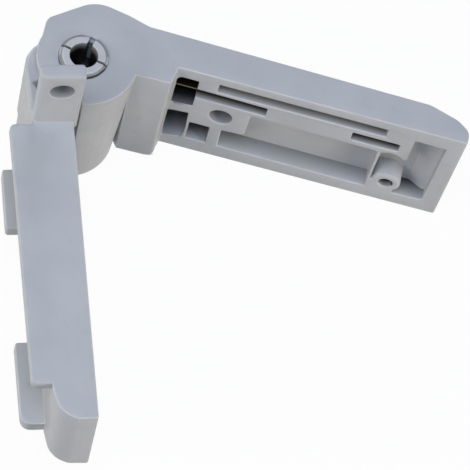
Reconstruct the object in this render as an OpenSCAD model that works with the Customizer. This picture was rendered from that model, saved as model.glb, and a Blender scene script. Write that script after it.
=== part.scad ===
// Fridge door hinge: two moulded leaves that turn on a split snap pin.
// Millimetres. The hinge axis is Z, leaf A's long arm runs along +X with its
// underside at z = 0, and leaf B is drawn at its open stop, as photographed.

/* [Leaf A] */
// height of leaf A along the hinge axis
leaf_a_h = 38; // [35:0.5:44]
// distance from the hinge axis to the tip of leaf A
arm_reach = 100.7; // [88:0.1:115]
// offset of the inner face of the arm from the axis
arm_in = 4.25; // [3.8:0.05:4.8]
// thickness of the arm where it leaves the hub
arm_t = 9.8; // [9:0.05:11]
// how much thinner the arm is near its tip
arm_taper = 1.1; // [0.4:0.05:1.6]
// length of the stop block along the arm
block_l = 9.9; // [8:0.1:11]
// how far the stop block stands out from the arm
block_rise = 5.4; // [4.6:0.05:5.6]
// height of the floor under the windows and pockets
floor_t = 5; // [4.2:0.1:5.6]
// depth of the wide pockets
pocket_d = 5.3; // [4.4:0.1:6]
// depth of the long slots
slot_d = 5; // [4:0.1:6]
// height of a long slot
slot_h = 3.8; // [3:0.1:4.2]
// depth of the two windows beside the hub
window_d = 7.6; // [6.4:0.1:8.2]
// width of the two windows beside the hub
window_w = 5.7; // [4.8:0.1:6.2]
// distance from the axis to the screw hole through the arm
hole_x = 38; // [36:0.1:42]
// diameter of the screw hole through the arm
arm_hole_d = 6.2; // [5.2:0.1:7]
// distance from the tip to the screw boss
boss_inset = 15.5; // [14:0.1:18]
// height of the screw boss above the underside
boss_z = 8.9; // [8:0.1:10]
// diameter of the screw boss
boss_d = 7.8; // [6.6:0.1:8.8]
// diameter of the pilot bore in the boss
pilot_d = 3.9; // [3.3:0.1:4.6]
// depth of the pilot bore
pilot_l = 7; // [5:0.5:8]

/* [Hub] */
// radius of the barrel at the top
barrel_r = 14; // [12.5:0.1:16]
// thickness of the barrel wall round the knuckle
barrel_t = 2; // [1.6:0.1:2.4]
// how far the hump stands out beyond the arm's outer face
hump_rise = 3.45; // [2.8:0.05:4.2]
// thickness of the top disc
disc_t = 2.7; // [2.3:0.1:3.2]
// radius of the pivot pin
pin_r = 6; // [5.2:0.1:6.8]
// running clearance round the pin
pin_gap = 0.05; // [0.03:0.01:0.08]
// radius of the bore down the pin
pin_bore_r = 3.4; // [2.8:0.1:3.9]
// thickness of the pin's lower flange
pin_flange_t = 2; // [1.6:0.1:2.6]
// height of the snap head above the disc
head_rise = 0.9; // [0.7:0.1:1.4]
// length of the slots that split the head
leg_l = 9; // [7:0.5:10]

/* [Leaf B] */
// angle from leaf A to leaf B at the open stop
open_angle = 72.35; // [70:0.05:75]
// distance from the hinge axis to the top of leaf B's end
body_reach = 99.3; // [86:0.1:114]
// height of the body of leaf B
body_h = 24; // [21:0.5:26]
// offset of the face of leaf B that looks at leaf A
body_in = 3.9; // [3.4:0.1:4.4]
// how far leaf B's outer wall stands outside the barrel
body_over = 0.25; // [0.2:0.05:0.4]
// how far the long flange stands out from the wall
flange_rise = 5.75; // [4.8:0.05:6.8]
// thickness of the long flange
flange_t = 2.8; // [2.2:0.1:3.4]
// thickness of the two lower clips
clip_t = 3.8; // [3:0.1:4.6]
// length of the clip at the hub end
clip_l = 17.1; // [14:0.1:20]
// height of the upright tab above leaf B
tab_rise = 21.25; // [18:0.05:25]
// thickness of the upright tab
tab_t = 4; // [3.4:0.1:4.8]
// diameter of the hole in the tab
tab_hole_d = 6; // [5:0.1:7]
// distance from the top of the tab to its hole
tab_hole_drop = 6.85; // [5.5:0.05:8]

/* [Spring strip] */
// thickness of the strip in the upper window
strip_t = 0.5; // [0.4:0.05:0.8]
// width of the strip, into the arm
strip_w = 5.4; // [4.6:0.1:5.8]

/* [Hidden] */
$fn = 96;
plastic = [0.72, 0.74, 0.77];
steel = [0.42, 0.39, 0.35];
turn_gap = 0.25;                    // clearance between the turning faces
lift = 0.2;                         // clearance under the knuckle
neck = 0.3;                         // depth of the pin's snap groove
edge_r = 0.3;                       // small corner of a moulded recess
top_r = 0.7;                        // radius round the tab's top and the flange's upper edge
small_r = 0.35;                     // radius round the flange's lower edge
head_l = 1.15;                      // part of the snap head that sits below the disc's face

// leaf A, from the sizes above
arm_out = arm_in + arm_t;
tip_out = arm_out - arm_taper;
block_x = barrel_r - 0.6;           // hub end of the stop block
block_end = block_x + block_l;
win_x = block_end + 1.1;            // hub side of the windows
win_end = win_x + window_w;
rib_top = leaf_a_h - 16.8;          // the rib between the windows, level with the hole
rib_low = rib_top - 3.5;
hole_z = rib_top - 1.4;
step_z = rib_low - 4;               // where the wide pocket steps in
slot_z = leaf_a_h - 3.2;            // top of the uppermost slot
boss_x = arm_reach - boss_inset;
strip_z = leaf_a_h - 10.2;

// hub
knuckle_r = barrel_r - barrel_t;
disc_r = knuckle_r;
slot_top = leaf_a_h - disc_t;       // underside of the top disc
pin_flange_r = pin_r + 2.4;
front_a = 282;                      // angle where the barrel wall begins
lean = [1.3, 1.7];                  // lean of the barrel's outside, degrees

// leaf B
b_top = leaf_a_h - 0.6;             // top of leaf B
b_low = b_top - body_h;             // underside of leaf B
slot_low = b_low - lift;            // floor of the knuckle slot
knuckle_top = slot_top - 0.1;
body_out = barrel_r + body_over;
flange_out = body_out + flange_rise;
tab_x = barrel_r + 0.6;             // back face of the tab
face_x = tab_x + tab_t;             // front face of the tab
tab_in = body_in - 1.1;             // the tab stands a little proud of the inner face
tab_hole_v = (tab_in + body_out) / 2 - 0.275;

// unit vector along v
function unit(v) = v / norm(v);

// a polygon corner b between a and c, rounded to the radius b[2] in n steps
function corner(a, b, c, n) = b[2] == 0 ? [[b[0], b[1]]] :
    let (p = [b[0], b[1]],
         u = unit([a[0], a[1]] - p),
         v = unit([c[0], c[1]] - p),
         half = acos(u * v) / 2,
         o = p + unit(u + v) * b[2] / sin(half),
         s = p + u * b[2] / tan(half) - o,
         t = p + v * b[2] / tan(half) - o,
         a0 = atan2(s[1], s[0]),
         turn = atan2(s[0] * t[1] - s[1] * t[0], s * t))
    [for (i = [0:n]) o + b[2] * [cos(a0 + turn * i / n), sin(a0 + turn * i / n)]];

// an outline with every corner [x, y, r] rounded
function soft(p, n = 8) = [for (i = [0:len(p) - 1])
    each corner(p[(i + len(p) - 1) % len(p)], p[i], p[(i + 1) % len(p)], n)];

// a plan outline raised from z0 to z1
module raised(p, z0, z1, n = 8) {
    translate([0, 0, z0]) linear_extrude(z1 - z0) polygon(soft(p, n));
}

// a pocket cut into the inner face of the arm: outline in x and z, depth d
module sunk(p, d, n = 6) {
    translate([0, arm_in + d, 0]) rotate([90, 0, 0])
        linear_extrude(d + block_rise) polygon(soft(p, n));
}

// a pie slice about the axis, from angle a0 to a1, that reaches radius r
module slice(a0, a1, r, z0, z1) {
    k = 12;
    translate([0, 0, z0]) linear_extrude(z1 - z0)
        polygon([[0, 0], for (i = [0:k]) let (a = a0 + (a1 - a0) * i / k)
            r / cos((a1 - a0) / k / 2) * [cos(a), sin(a)]]);
}

// a bore along Z
module bore(r, z0, z1) {
    translate([0, 0, z0]) cylinder(r = r, h = z1 - z0);
}

// a bore along Y at x and z, from y0 to y1
module cross_bore(d, x, z, y0, y1) {
    translate([x, y1, z]) rotate([90, 0, 0]) cylinder(d = d, h = y1 - y0);
}

// the steps of a rounded edge: how far in from the side, and how far from the end
function steps(r) = [[r, 0], [0.43 * r, 0.14 * r], [0.14 * r, 0.43 * r], [0, r]];

// the hull of a plan outline set in by those steps at both ends, r0 at the bottom and r1 at the top
module pillow(p, z0, z1, r0, r1, n = 4) {
    middle = (z1 - z0) / 2;
    hull() {
        for (k = steps(r0)) translate([0, 0, z0 + k[1]]) linear_extrude(middle - k[1])
            offset(delta = -k[0]) polygon(soft(p, n));
        for (k = steps(r1)) translate([0, 0, z0 + middle]) linear_extrude(middle - k[1])
            offset(delta = -k[0]) polygon(soft(p, n));
    }
}

// the outside of the barrel: it narrows downwards and leans back towards the arm's root
module barrel() {
    slope = 1.15 / 38;
    translate([0, 0, leaf_a_h]) rotate([-lean[1], lean[0], 0]) translate([0, 0, -leaf_a_h - 2])
        cylinder(r1 = barrel_r - slope * (leaf_a_h + 2) + 0.06, r2 = barrel_r + 0.06, h = leaf_a_h + 4);
}

// Leaf A: barrel, top disc and hump round the knuckle
module hub() {
    wide = 2 * barrel_r;
    // full barrel below the knuckle, cut back to the disc on leaf B's side above it
    intersection() {
        barrel();
        union() {
            bore(wide, 0, slot_low);
            slice(front_a - 360, 90, wide, 0, leaf_a_h);
        }
    }
    bore(disc_r, slot_top, leaf_a_h);
    // the hump on the outer side, flat towards leaf B
    left = 0.4 - disc_r;
    raised([[left, 2.7, 0], [6, 2.7, 0], [barrel_r + 4, arm_in + 0.75, 0], [barrel_r + 4, arm_out - 0.15, 0],
        [barrel_r + 0.6, arm_out - 0.07, 5], [barrel_r - 5.6, arm_out + hump_rise / 2, 8],
        [-0.65, arm_out + hump_rise, 8.7], [left, arm_out - 5.35, 3]], 0, leaf_a_h);
}

// Leaf A: the arm, with the stop block on its inner side
module arm() {
    face = arm_in - block_rise;
    difference() {
        raised([[barrel_r - 5, 1.5, 0], [barrel_r - 2, 1, 0], [block_x, face, 0],
            [block_end, face + 0.2, 0.8], [block_end + 0.6, arm_in, 0.5], [arm_reach, arm_in, 0.6],
            [arm_reach, arm_in + 3.65, 3], [arm_reach - 3.5, tip_out - 2.45, 5],
            [arm_reach - 11.2, tip_out, 8], [block_x + 2.6, arm_out, 0], [block_x - 0.4, arm_out, 0],
            [barrel_r - 5, arm_out - 2, 0]], 0, leaf_a_h);
        // the lower corner of the block is rounded
        translate([block_end, arm_in - 1.85, 0]) rotate([90, 0, 0]) linear_extrude(block_rise + 2)
            polygon([[2, -1], [2, 4.6], [0.4, 2.6], [0, 1.6], [-0.6, 0.7], [-1.4, 0.2],
                [-2.6, -0.1], [-2.6, -1]]);
    }
}

// Leaf A: everything that is open in the inner face of the arm
module arm_cuts() {
    // the two windows and the small one beside the hub
    sunk([[win_x, rib_top, 0.6], [win_end, rib_top + 0.4, edge_r], [win_end, leaf_a_h - 4.2, edge_r],
        [win_x, leaf_a_h - 4.1, 1.6]], window_d);
    sunk([[win_x - 0.3, floor_t - 0.9, 0.5], [win_end - 0.6, floor_t + 0.4, 1.2],
        [win_end - 0.2, floor_t + 4, 3], [win_end - 0.5, rib_low, edge_r],
        [win_x - 0.3, rib_low - 0.5, 0.8]], window_d);
    sunk([[win_end + 0.4, floor_t + 0.5, edge_r], [win_end + 6, floor_t + 0.3, edge_r],
        [win_end + 6, step_z - 0.3, edge_r], [win_end + 0.4, step_z - 0.2, edge_r]], window_d - 1.4);
    // three long slots
    s1 = slot_z - 4.7;
    sunk([[win_end - 0.1, s1 - slot_h - 0.3, 0], [hole_x + 11.1, s1 - slot_h - 0.6, edge_r],
        [hole_x + 11.1, s1 - 0.6, edge_r], [win_end - 0.1, s1, 0]], slot_d);
    sunk([[win_end + 5.2, slot_z - slot_h + 0.1, edge_r], [boss_x - 4.8, slot_z - slot_h - 0.1, edge_r],
        [boss_x - 4.8, slot_z - 0.3, edge_r], [win_end + 5.2, slot_z, edge_r]], slot_d - 0.4);
    s3 = s1 - 1.1;
    sunk([[boss_x - 13.2, s3 - slot_h + 0.2, edge_r], [boss_x - 0.4, s3 - slot_h + 0.3, edge_r],
        [boss_x - 0.4, s3 - 0.1, edge_r], [boss_x - 13.2, s3, edge_r]], slot_d);
    // the wide pocket, which steps round the screw hole
    top = rib_top + 2.9;
    sunk([[hole_x + 1.3, floor_t + 0.3, edge_r], [boss_x - 5, floor_t - 0.2, 0.6],
        [boss_x - 5.3, top - 0.9, 0.6], [hole_x + 7.4, top, edge_r], [hole_x + 7.3, step_z + 0.2, 1.2],
        [hole_x + 1.2, step_z - 0.2, edge_r]], pocket_d);
    // the pocket at the tip and the recess round the boss share one floor,
    // which slants out towards the tip
    tip = arm_reach - 4.6;
    deep = pocket_d + 0.3;
    difference() {
        sunk([[boss_x - 4.4, floor_t - 0.3, 0.2], [tip, floor_t, 1.4], [tip + 0.3, leaf_a_h - 5.5, 0.4],
            [tip - 8.2, leaf_a_h - 5.3, 0.5], [tip - 8.2, rib_top - 0.6, 0.6], [boss_x + 1.5, top - 1.2, 2],
            [boss_x - 1.9, top + 0.2, 3], [boss_x - 4.4, top - 1.1, 0.6]], deep);
        translate([tip, arm_in + deep, -1]) linear_extrude(leaf_a_h + 2)
            polygon([[-4.6, 0], [1.4, -3.2], [1.4, 2.5]]);
        boss();
    }
}

// Leaf A: the screw boss on the pocket floor, joined to the wall beside it
module boss() {
    rim = 0.35;
    cross_bore(boss_d, boss_x, boss_z, arm_in + rim, arm_in + pocket_d + 2.5);
    translate([boss_x, arm_in + rim, boss_z]) rotate([90, 0, 0])
        cylinder(d1 = boss_d, d2 = boss_d - 2 * rim, h = rim);
    translate([boss_x - 5.2, arm_in, 0]) cube([7.7, pocket_d + 2.5, boss_z]);
}

module leaf_a() color(plastic) difference() {
    union() {
        hub();
        arm();
    }
    arm_cuts();
    // room for the knuckle to turn
    bore(knuckle_r + turn_gap, slot_low, slot_top);
    // bores for the pivot pin, and the recess that shows round its head
    bore(pin_r + pin_gap, -1, slot_low + 1);
    bore(pin_r - neck + pin_gap, slot_top - 1, leaf_a_h + 1);
    bore(pin_r + 0.45, leaf_a_h - head_l - 0.05, leaf_a_h + 1);
    bore(pin_flange_r + 0.2, -1, pin_flange_t + 0.1);
    // the screw hole through the arm and the pilot bore of the boss
    cross_bore(arm_hole_d, hole_x, hole_z, arm_in - 1, arm_out + 1);
    cross_bore(pilot_d, boss_x, boss_z, arm_in - 1, arm_in + pilot_l);
    // the grooves in both sides of the upper window that hold the strip
    strip_shape();
}

// Leaf B: the knuckle and the wall that wraps round the back of the barrel
module knuckle() {
    wall = body_out - 0.15;
    bore(knuckle_r, b_low, knuckle_top);
    difference() {
        hull() for (k = [0, 0.6]) translate([0, 0, b_low])
            linear_extrude(knuckle_top - b_low - 0.6 + k)
                polygon(soft([[-7, 2.95 - knuckle_r, 0], [-4.6, k - knuckle_r - 0.5, 4], [-2.2, k - wall - 0.1, 5],
                    [1, k - wall - 0.75, 3], [tab_x + 0.4, k - wall, 0], [tab_x + 0.4, -knuckle_r, 0],
                    [0, -knuckle_r / 2, 0]], 5));
        // clear of the barrel wall over the whole travel
        intersection() {
            slice(-67, 60, 2 * barrel_r, b_low - 1, knuckle_top + 1);
            bore(barrel_r + turn_gap, b_low - 1, knuckle_top + 1);
        }
    }
}

// Leaf B: the long body, whose curved end leans out towards the bottom
module body() {
    hull() for (out = [0, 1])
        translate([0, 0, out == 1 ? b_low : b_top - 1]) linear_extrude(1)
            polygon(soft([[tab_x, -body_in, 0], [body_reach + 1.6 * out, -body_in, 0.6],
                [body_reach + 1.4 * out, -body_in - 5, 1 + 2 * out],
                [body_reach - 2.1 + 1.5 * out, 1.45 - body_out - 0.5 * out, 6],
                [body_reach - 7.7 + 0.8 * out, -body_out, 3], [tab_x, -body_out, 0]], 6));
}

// Leaf B: the long flange along the top and the two clips along the bottom
module edges() {
    root = 4 - body_out;
    start = face_x + 0.3;
    end = body_reach - 9.2;
    pillow([[start, root, 0], [end, root, 0], [end, 0.8 - flange_out, 1.6],
        [start, -flange_out, 1.4]], b_top - flange_t, b_top, small_r, top_r);
    raised([[start + 1.9, root, 0], [start + 1.9 + clip_l, root, 0],
        [start + 1.9 + clip_l, -flange_out - 0.35, 0.8], [start + 1.9, -flange_out - 0.35, 0.8]],
        b_low, b_low + clip_t);
    raised([[end - 20.4, root, 0], [end + 1.6, root, 0], [end + 1.6, -flange_out, 2.6],
        [end - 20.4, -flange_out - 0.2, 0.8]], b_low, b_low + clip_t);
}

// Leaf B: the upright tab with its screw hole, rounded along its top
module tab() {
    top = b_top + tab_rise;
    difference() {
        pillow([[tab_x, -tab_in, 0.9], [face_x, -tab_in, 0.9], [face_x, 0.15 - body_out, 1.2],
            [tab_x, 0.15 - body_out, 1.6]], b_top - 2.9, top, 0, top_r);
        translate([tab_x - 1, -tab_hole_v, top - tab_hole_drop]) rotate([0, 90, 0])
            cylinder(d = tab_hole_d, h = tab_t + 2);
    }
}

module leaf_b() color(plastic) rotate([0, 0, -open_angle]) difference() {
    union() {
        knuckle();
        body();
        edges();
        tab();
    }
    bore(pin_r, b_low - 1, knuckle_top + 1);
}

// The hollow pin: a flange below, a shank, and a head split into four snap legs
module pivot_pin() color(plastic) difference() {
    union() {
        bore(pin_flange_r, 0, pin_flange_t);
        bore(pin_r, 0, slot_top - 0.05);
        bore(pin_r - neck, slot_top - 1, leaf_a_h);
        bore(pin_r, leaf_a_h - head_l, leaf_a_h + head_rise - 0.5);
        translate([0, 0, leaf_a_h + head_rise - 0.5])
            cylinder(r1 = pin_r, r2 = pin_r - 0.6, h = 0.5);
    }
    bore(pin_bore_r, -1, leaf_a_h - 2);
    translate([0, 0, leaf_a_h - 2]) cylinder(r1 = pin_bore_r, r2 = pin_bore_r + 0.4, h = 4);
    // four slots, the one towards the hump wider than the rest
    for (s = [[79, 1.5], [166, 0.7], [258, 0.7], [350, 0.7]])
        rotate([0, 0, s[0]]) translate([0, -s[1] / 2, leaf_a_h - leg_l])
            cube([pin_r + 2, s[1], leg_l + head_rise + 1]);
}

// The strip lies flat across the upper window, held in a groove on each side
module strip_shape() {
    translate([win_x - 1.5, arm_in + 1.6, strip_z - strip_t / 2])
        cube([window_w + 2.7, strip_w, strip_t]);
}

module detent_spring() color(steel) strip_shape();

leaf_a();
leaf_b();
pivot_pin();
detent_spring();
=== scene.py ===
# Fridge door hinge: the moulded leaves, their snap pin and the strip spring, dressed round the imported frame.
import math

import bpy
import bmesh
from mathutils import Matrix, Vector


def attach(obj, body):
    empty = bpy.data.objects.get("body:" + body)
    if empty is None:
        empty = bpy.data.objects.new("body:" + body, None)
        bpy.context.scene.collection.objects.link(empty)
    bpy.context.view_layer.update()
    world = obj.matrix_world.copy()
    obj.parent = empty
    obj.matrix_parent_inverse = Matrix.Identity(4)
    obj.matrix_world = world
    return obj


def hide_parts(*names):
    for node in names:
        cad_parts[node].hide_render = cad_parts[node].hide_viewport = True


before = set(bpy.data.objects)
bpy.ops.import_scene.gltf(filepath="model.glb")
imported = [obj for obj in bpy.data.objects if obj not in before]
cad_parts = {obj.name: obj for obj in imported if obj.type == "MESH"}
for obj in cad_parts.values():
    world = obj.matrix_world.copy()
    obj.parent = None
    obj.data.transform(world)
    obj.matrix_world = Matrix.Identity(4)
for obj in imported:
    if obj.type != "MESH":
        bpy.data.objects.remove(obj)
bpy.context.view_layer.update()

MM = 0.001
OPEN_ANGLE = 72.35          # degrees between the leaves at rest
MOULD_RADIUS = 0.3          # mm, on the leaves' outside edges
PIN_RADIUS = 0.12           # mm, on the pin's edges
INSIDE_SHARE = 0.35         # part of the radius that an inside corner gets
MERGE_WITHIN = 0.025        # mm, closer points of the CAD mesh become one
FLAT_WITHIN = 0.4           # degrees, flatter joins between triangles are dissolved

# Materials

def srgb(hex_code):
    """An sRGB hex colour as the linear RGBA that the nodes want."""
    parts = [int(hex_code[i:i + 2], 16) / 255 for i in (1, 3, 5)]
    return [p / 12.92 if p <= 0.04045 else ((p + 0.055) / 1.055) ** 2.4 for p in parts] + [1.0]


def add(tree, kind, settings=None, values=None, links=None):
    """Adds a node, with its settings, socket values and links from other nodes' sockets."""
    made = tree.nodes.new(kind)
    for name, value in (settings or {}).items():
        setattr(made, name, value)
    for name, value in (values or {}).items():
        made.inputs[name].default_value = value
    for name, source in (links or {}).items():
        tree.links.new(source, made.inputs[name])
    return made


def empty_material(name):
    """A new material with an empty node tree."""
    mat = bpy.data.materials.new(name)
    mat.use_nodes = True
    mat.node_tree.nodes.clear()
    return mat, mat.node_tree


def moulded_plastic(name, body, shade, roughness):
    """Injection-moulded acetal: a fine eroded skin, faint flow clouding, edges rubbed smoother and paler,
    partly wear and partly a painted highlight, and painted shade deep in the hollows.
    """
    mat, tree = empty_material(name)
    place = add(tree, "ShaderNodeTexCoord").outputs["Object"]
    # flow clouding, blotches about 12 mm across, only just seen
    cloud = add(tree, "ShaderNodeTexNoise",
                values={"Scale": 1 / (12 * MM), "Detail": 3.0, "Roughness": 0.55},
                links={"Vector": place})
    # the eroded skin: grains 0.35 mm across, drawn coarser than the real 0.1 mm so that they show
    grain = add(tree, "ShaderNodeTexNoise",
                values={"Scale": 1 / (0.35 * MM), "Detail": 2.0, "Roughness": 0.6},
                links={"Vector": place})
    amount = add(tree, "ShaderNodeMapRange", values={"From Min": 0.35, "From Max": 0.7},
                 links={"Value": cloud.outputs["Fac"]})
    skin = add(tree, "ShaderNodeMix", {"data_type": "RGBA"}, links={"Factor": amount.outputs["Result"]})
    skin.inputs["A"].default_value = srgb(body)
    skin.inputs["B"].default_value = srgb(shade)
    # handling marks: a few darker smudges 3 mm across, and pale edges that come and go over 5 mm, partly
    # rubbed wear and partly a painted highlight
    smudge = add(tree, "ShaderNodeTexNoise",
                 values={"Scale": 1 / (3 * MM), "Detail": 4.0, "Roughness": 0.65},
                 links={"Vector": place})
    dirt = add(tree, "ShaderNodeMapRange", values={"From Min": 0.62, "From Max": 0.78, "To Max": 0.35},
               links={"Value": smudge.outputs["Fac"]})
    soiled = add(tree, "ShaderNodeMix", {"data_type": "RGBA"},
                 links={"Factor": dirt.outputs["Result"], "A": skin.outputs["Result"]})
    soiled.inputs["B"].default_value = srgb("#A8AAAB")
    rub_and_highlight = add(tree, "ShaderNodeAttribute", {"attribute_name": "rub_and_highlight"})
    patchy = add(tree, "ShaderNodeTexNoise", values={"Scale": 1 / (5 * MM), "Detail": 2.0},
                 links={"Vector": place})
    wear_and_highlight = add(tree, "ShaderNodeMath", {"operation": "MULTIPLY"},
               links={0: rub_and_highlight.outputs["Fac"], 1: patchy.outputs["Fac"]})
    colour = add(tree, "ShaderNodeMix", {"data_type": "RGBA"},
                 links={"Factor": wear_and_highlight.outputs[0], "A": soiled.outputs["Result"]})
    # the pale edge colour: partly rubbed wear, partly a painted highlight
    colour.inputs["B"].default_value = srgb("#DADCDD")
    # painted shade: the bottoms of the hollows darkened towards near-black, where shade falls
    shade_mask = add(tree, "ShaderNodeAttribute", {"attribute_name": "painted_shade"})
    shade_mixed = add(tree, "ShaderNodeMix", {"data_type": "RGBA"},
                  links={"Factor": shade_mask.outputs["Fac"], "A": colour.outputs["Result"]})
    # the near-black of the painted shade
    shade_mixed.inputs["B"].default_value = srgb("#1E1C1A")
    rough = add(tree, "ShaderNodeMapRange",
                values={"From Min": 0.3, "From Max": 0.7,
                        "To Min": roughness - 0.05, "To Max": roughness + 0.06},
                links={"Value": grain.outputs["Fac"]})
    smoother = add(tree, "ShaderNodeMath", {"operation": "MULTIPLY_ADD"}, values={1: -0.16},
                   links={0: wear_and_highlight.outputs[0], 2: rough.outputs["Result"]})
    bump = add(tree, "ShaderNodeBump", values={"Strength": 0.12, "Distance": 0.04 * MM},
               links={"Height": grain.outputs["Fac"]})
    acetal_skin = add(tree, "ShaderNodeBsdfPrincipled", values={"IOR": 1.48},
                      links={"Base Color": shade_mixed.outputs["Result"], "Roughness": smoother.outputs[0],
                             "Normal": bump.outputs["Normal"]})
    add(tree, "ShaderNodeOutputMaterial", links={"Surface": acetal_skin.outputs["BSDF"]})
    return mat


def strip_steel(name):
    """Cold-rolled spring strip, dulled to brown: faint rolling lines along its length."""
    mat, tree = empty_material(name)
    place = add(tree, "ShaderNodeTexCoord").outputs["Object"]
    # rolling lines run along X, about 0.2 mm apart
    along = add(tree, "ShaderNodeMapping", values={"Scale": (20, 1, 1 / (0.2 * MM))},
                links={"Vector": place})
    lines = add(tree, "ShaderNodeTexNoise", values={"Scale": 1.0, "Detail": 3.0},
                links={"Vector": along.outputs["Vector"]})
    colour = add(tree, "ShaderNodeMix", {"data_type": "RGBA"})
    colour.inputs["A"].default_value = srgb("#7A6C5C")
    colour.inputs["B"].default_value = srgb("#4E443A")
    tree.links.new(lines.outputs["Fac"], colour.inputs["Factor"])
    metal = add(tree, "ShaderNodeBsdfPrincipled", values={"Metallic": 1.0, "Roughness": 0.42},
                links={"Base Color": colour.outputs["Result"]})
    add(tree, "ShaderNodeOutputMaterial", links={"Surface": metal.outputs["BSDF"]})
    return mat


acetal = moulded_plastic("moulded_acetal_light_grey", "#BEC2C6", "#B7BBC0", 0.46)
acetal_pin = moulded_plastic("moulded_acetal_pin", "#C6C9CC", "#BFC2C6", 0.42)
strip = strip_steel("rolled_spring_strip")


# The mouldings: each CAD solid with the small radius that its mould leaves on every edge

def only(obj):
    """Selects obj alone and makes it active."""
    bpy.ops.object.select_all(action="DESELECT")
    obj.select_set(True)
    bpy.context.view_layer.objects.active = obj


def mark_edges(piece, sharp, fine):
    """Weighs each sharp edge for the mould radius: whole outside, part inside, and less in the fine boxes."""
    shape = bmesh.new()
    shape.from_mesh(piece.data)
    weight = shape.edges.layers.float.new("bevel_weight_edge")
    for edge in shape.edges:
        turn = math.degrees(edge.calc_face_angle_signed(0))
        middle = (edge.verts[0].co + edge.verts[1].co) / 2 / MM
        share = 1.0 if turn > sharp else INSIDE_SHARE if turn < -sharp else 0.0
        for low, high, most in fine:
            if all(low[i] < middle[i] < high[i] for i in range(3)):
                share = min(share, most)
        edge[weight] = share
    shape.to_mesh(piece.data)
    shape.free()


def refill_plates(piece, corners=10):
    """Fills each flat plate anew between its outlines, where rounding left one long face. Holes stay open."""
    parallel = 0.99999          # least cosine between the normals of one plate
    shape = bmesh.new()
    shape.from_mesh(piece.data)
    waiting = {face for face in shape.faces if face.material_index == 0 and len(face.verts) > corners}
    while waiting:
        start = waiting.pop()
        normal = start.normal.copy()
        plate, queue = {start}, [start]
        while queue:
            face = queue.pop()
            for edge in face.edges:
                for other in edge.link_faces:
                    level = other.material_index == 0 and other.normal.dot(normal) > parallel
                    if other not in plate and level:
                        plate.add(other)
                        queue.append(other)
        waiting -= plate
        edges = {edge for face in plate for edge in face.edges}
        rim = [edge for edge in edges if any(face not in plate for face in edge.link_faces)]
        seams = [edge for edge in edges if edge not in set(rim)]
        bmesh.ops.delete(shape, geom=list(plate), context="FACES_ONLY")
        bmesh.ops.delete(shape, geom=seams, context="EDGES")
        made = bmesh.ops.triangle_fill(shape, use_beauty=True, edges=rim, normal=normal)
        for face in made["geom"]:
            if isinstance(face, bmesh.types.BMFace):
                face.smooth = True
                if face.normal.dot(normal) < 0:
                    face.normal_flip()
    shape.to_mesh(piece.data)
    shape.free()


def steady_shading(piece):
    """Shades each rounded edge from the plates beside it, so that the plates stay flat."""
    only(piece)
    for strength, index in (("STRONG", 0), ("WEAK", 1)):
        bpy.ops.object.mode_set(mode="OBJECT")
        for face in piece.data.polygons:
            face.select = face.material_index == index
        bpy.ops.object.mode_set(mode="EDIT")
        bpy.ops.mesh.mod_weighted_strength(set=True, face_strength=strength)
    bpy.ops.object.mode_set(mode="OBJECT")
    even = piece.modifiers.new("even_shading", "WEIGHTED_NORMAL")
    even.mode = "CORNER_ANGLE"
    even.use_face_influence = True
    bpy.ops.object.modifier_apply(modifier=even.name)


def painted_shade(piece, into, mouth, end, hollows):
    """Paints shade into each hollow, darker with every mm past the mouth, and none past its end."""
    lip, upward = 0.1, 0.3      # mm past the mouth that stays unshaded, and the least slope of a ledge
    mark = piece.data.attributes.new("painted_shade", "FLOAT", "CORNER")
    for face in piece.data.polygons:
        for place in face.loop_indices:
            spot = piece.data.vertices[piece.data.loops[place].vertex_index].co / MM
            for low, high, start, growth, ledges in hollows:
                inside = all(low[i] < spot[i] < high[i] for i in range(3))
                depth = spot.dot(into) - mouth
                if inside and lip < depth < end and (face.normal.z > upward or not ledges):
                    mark.data[place].value = start + growth * depth


def mark_rub_and_highlight(piece):
    """Marks the crown of every rounded edge, which handling rubs and where a highlight is painted paler, and
    leaves one material on all faces.
    """
    mesh = piece.data
    plain = {corner for face in mesh.polygons if face.material_index == 0 for corner in face.vertices}
    rub_and_highlight = mesh.attributes.new("rub_and_highlight", "FLOAT", "POINT")
    for place, mark in enumerate(rub_and_highlight.data):
        mark.value = 0.0 if place in plain else 1.0
    for face in mesh.polygons:
        face.material_index = 0


def rounded_copy(node, name, radius, material, body, sharp=24, fine=()):
    """A copy of a CAD node, merged, with a radius along its edges, that stands for the node."""
    only(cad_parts[node])
    bpy.ops.object.duplicate()
    piece = bpy.context.active_object
    piece.name = name
    piece.parent = None
    piece.matrix_world = Matrix.Identity(4)
    for key in [k for k in piece.keys() if k.startswith("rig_")]:
        del piece[key]
    only(piece)
    bpy.ops.object.mode_set(mode="EDIT")
    bpy.ops.mesh.select_all(action="SELECT")
    bpy.ops.mesh.remove_doubles(threshold=MERGE_WITHIN * MM)
    bpy.ops.mesh.dissolve_limited(angle_limit=math.radians(FLAT_WITHIN))
    bpy.ops.object.mode_set(mode="OBJECT")
    piece.data.materials.clear()
    piece.data.materials.append(material)
    piece.data.materials.append(material)
    bpy.ops.object.shade_smooth_by_angle(angle=math.radians(sharp))
    mark_edges(piece, sharp, fine)
    edge = piece.modifiers.new("mould_radius", "BEVEL")
    edge.width = radius * MM
    edge.segments = 3
    edge.limit_method = "WEIGHT"
    edge.use_clamp_overlap = False
    edge.material = 1
    bpy.ops.object.modifier_apply(modifier=edge.name)
    refill_plates(piece)
    steady_shading(piece)
    mark_rub_and_highlight(piece)
    piece.data.materials.pop()
    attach(piece, body)
    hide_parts(node)
    return piece


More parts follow.
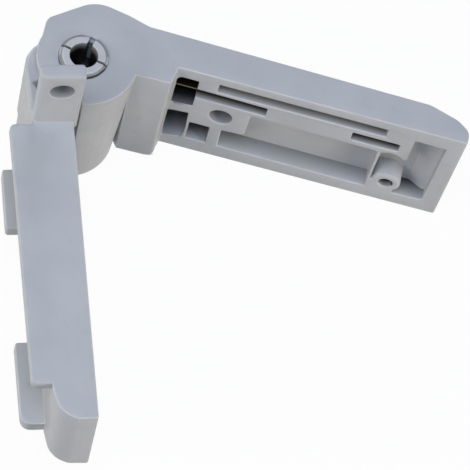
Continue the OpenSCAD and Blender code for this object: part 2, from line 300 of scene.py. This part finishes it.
def seat_head(piece):
    """Widens the snap head to fill its seat, but for the crescent where the photograph shows a gap."""
    neck_z, rim, widening = 36.7, 5.85, 0.36        # mm
    crescent_at, crescent_half, fade = -48, 24, 12  # degrees round the pin
    for corner in piece.data.vertices:
        x, y, z = corner.co / MM
        reach = math.hypot(x, y)
        if z > neck_z and reach > rim:
            off = abs(math.degrees(math.atan2(y, x)) - crescent_at)
            share = min(1.0, max(0.0, (off - crescent_half) / fade))
            corner.co.xy *= 1 + widening * share / reach


# The pieces

# where leaf A has no room for the whole radius: low corner and high corner in mm, most of the radius
tight = [((29.4, 3.0, 4.4), (31.0, 12.5, 17.3), 0.35),      # the web between the lower windows
         ((23.9, 3.0, 3.0), (24.9, 12.5, 34.2), 0.35),      # beside the fillet of the stop block
         ((22.2, -1.2, -0.1), (23.7, 0.1, 2.1), 0.4),       # the block's rounded lower corner
         ((86.6, 3.0, 20.0), (88.1, 12.5, 24.0), 0.0),      # the end of the wall beside the boss
         ((11.7, 0.5, -0.5), (12.3, 1.4, 2.0), 0.0)]        # the root of the arm under the hub
leaf_a = rounded_copy("leaf_a", "leaf_a_moulding", MOULD_RADIUS, acetal, "leaf_a", fine=tight)
leaf_b = rounded_copy("leaf_b", "leaf_b_moulding", MOULD_RADIUS, acetal, "leaf_b", sharp=35)
pin = rounded_copy("pivot_pin", "snap_pin_moulding", PIN_RADIUS, acetal_pin, "leaf_b")
seat_head(pin)

# Painted shade in the hollows. A hollow is its low corner and high corner in mm, the painted shade at its
# mouth, the growth per mm of depth, and whether only its ledges have it.
plate_y = 4.25              # mm, leaf A's plate, where its hollows begin
arm_hollows = [
    ((24.0, 4.4, 20.9), (30.4, 12.0, 34.2), 0.75, 0.08, False),     # the upper window
    ((23.8, 4.4, 3.8), (30.25, 12.0, 18.0), 0.14, 0.08, False),     # the lower window
    ((30.35, 4.4, 4.8), (36.7, 10.7, 13.8), 0.12, 0.12, False),     # the small window
    ((30.2, 4.4, 24.8), (49.4, 9.4, 30.4), 0.04, 0.40, False),      # the slot beside the upper window
    ((35.0, 4.4, 30.4), (80.7, 9.0, 35.1), 0.04, 0.26, False),      # the long slot above it
    ((71.5, 4.4, 25.0), (85.1, 9.4, 29.3), 0.04, 0.42, False),      # the slot above the boss
    ((34.8, 4.4, 16.6), (41.2, 14.2, 23.0), 0.28, 0.10, False),     # the screw hole
    ((83.0, 4.4, 6.7), (87.4, 12.0, 11.1), 0.85, 0.20, False),      # the pilot bore
    ((39.0, 4.4, 4.0), (80.5, 9.9, 13.0), 0.10, 0.09, True),        # the ledge of the wide pocket
    ((80.6, 4.4, 4.0), (97.0, 9.9, 8.0), 0.20, 0.15, True)]         # the ledge at the tip
painted_shade(leaf_a, Vector((0, 1, 0)), plate_y, 9.35, arm_hollows)

face_u, tab_t = 18.6, 4.0   # mm, the tab's front along leaf B, and its thickness
into_tab = Vector((-math.cos(math.radians(OPEN_ANGLE)), math.sin(math.radians(OPEN_ANGLE)), 0))
# painted shade inside the hole through the tab, darker with depth
tab_hole = ((-6.4, -21.3, 48.6), (0.7, -15.3, 55.0), 0.30, 0.10, False)
painted_shade(leaf_b, into_tab, -face_u, tab_t - 0.15, [tab_hole])

head_z = 38.9               # mm, the top of the snap head
# painted shade down the pin's bore and slots, darker with depth
bore_and_slots = ((-6.1, -6.1, -1.0), (6.1, 6.1, 38.8), 0.45, 0.20, False)
painted_shade(pin, Vector((0, 0, -1)), -head_z, head_z - 0.05, [bore_and_slots])

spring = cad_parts["detent_spring"]
spring.data.materials.clear()
spring.data.materials.append(strip)


# The stage: a white floor that keeps a faint shadow, soft lamps and the camera of the photograph

def white_floor():
    """A matt sheet that the camera sees as white, but for a small share that keeps the hinge's shadow."""
    bpy.ops.object.select_all(action="DESELECT")
    bpy.ops.mesh.primitive_plane_add(size=3.0, location=(0, 0, 0))
    floor = bpy.context.active_object
    floor.name = "floor"
    mat, tree = empty_material("white_sheet")
    glow = add(tree, "ShaderNodeEmission", values={"Color": (1, 1, 1, 1), "Strength": 1.0})
    rays = add(tree, "ShaderNodeLightPath")
    seen = add(tree, "ShaderNodeMath", {"operation": "MAXIMUM"},
               links={0: rays.outputs["Is Camera Ray"], 1: rays.outputs["Is Glossy Ray"]})
    # its grey throws little light back up, and the camera sees the sheet itself pale
    tone = add(tree, "ShaderNodeMix", {"data_type": "RGBA"}, links={"Factor": seen.outputs[0]})
    tone.inputs["A"].default_value = srgb("#A8A8A8")
    tone.inputs["B"].default_value = srgb("#FCFCFC")
    matt = add(tree, "ShaderNodeBsdfDiffuse", links={"Color": tone.outputs["Result"]})
    share = add(tree, "ShaderNodeMath", {"operation": "MULTIPLY"}, values={1: 0.94},
                links={0: seen.outputs[0]})
    both = add(tree, "ShaderNodeMixShader",
               links={"Fac": share.outputs[0], 1: matt.outputs[0], 2: glow.outputs[0]})
    add(tree, "ShaderNodeOutputMaterial", links={"Surface": both.outputs[0]})
    floor.data.materials.append(mat)


def lamp(name, where, aim, size, watts, colour):
    """A square soft box at where that faces aim."""
    bpy.ops.object.light_add(type="AREA", location=where)
    light = bpy.context.active_object
    light.name = name
    light.rotation_euler = (Vector(aim) - Vector(where)).to_track_quat("-Z", "Y").to_euler()
    light.data.size = size
    light.data.energy = watts
    light.data.color = srgb(colour)[:3]


def stage():
    """Floor, lamps, world and camera."""
    white_floor()
    # the lamps face the middle of the hinge; their strengths were fitted to the photograph
    middle = (0.03, -0.02, 0.02)
    lamp("soft_box_overhead", (0.00, -0.25, 0.90), middle, 0.5, 4.27, "#DBE9FF")
    lamp("low_soft_box_right", (0.70, -0.30, 0.08), middle, 0.4, 4.27, "#FFF3E4")
    lamp("soft_box_front_left", (-0.50, -0.50, 0.45), middle, 0.4, 2.50, "#FFF5EF")
    lamp("soft_box_behind", (0.10, 0.70, 0.50), middle, 0.5, 1.78, "#F3F4FF")
    lamp("low_soft_box_left", (-0.70, -0.10, 0.12), middle, 0.4, 1.67, "#FFFDEF")
    world = bpy.data.worlds.new("studio")
    world.use_nodes = True
    sky = world.node_tree.nodes["Background"]
    sky.inputs["Color"].default_value = (1, 1, 1, 1)
    sky.inputs["Strength"].default_value = 0.05
    bpy.context.scene.world = world

    # the camera, fitted to the photograph
    right = Vector((0.966363, 0.198624, 0.163373))
    up = Vector((-0.252846, 0.849900, 0.462316))
    forward = Vector((0.047023, 0.488073, -0.871534))
    turn = Matrix((right, up, -forward)).transposed().to_4x4()
    bpy.ops.object.camera_add()
    camera = bpy.context.active_object
    camera.name = "camera"
    camera.matrix_world = Matrix.Translation(Vector((18.6, -341.6, 578.4)) * MM) @ turn
    camera.data.sensor_width = 36.0
    camera.data.lens = 192.192
    camera.data.clip_start = 0.05
    camera.data.clip_end = 20.0
    bpy.context.scene.camera = camera
    bpy.context.scene.view_settings.view_transform = "Standard"


stage()
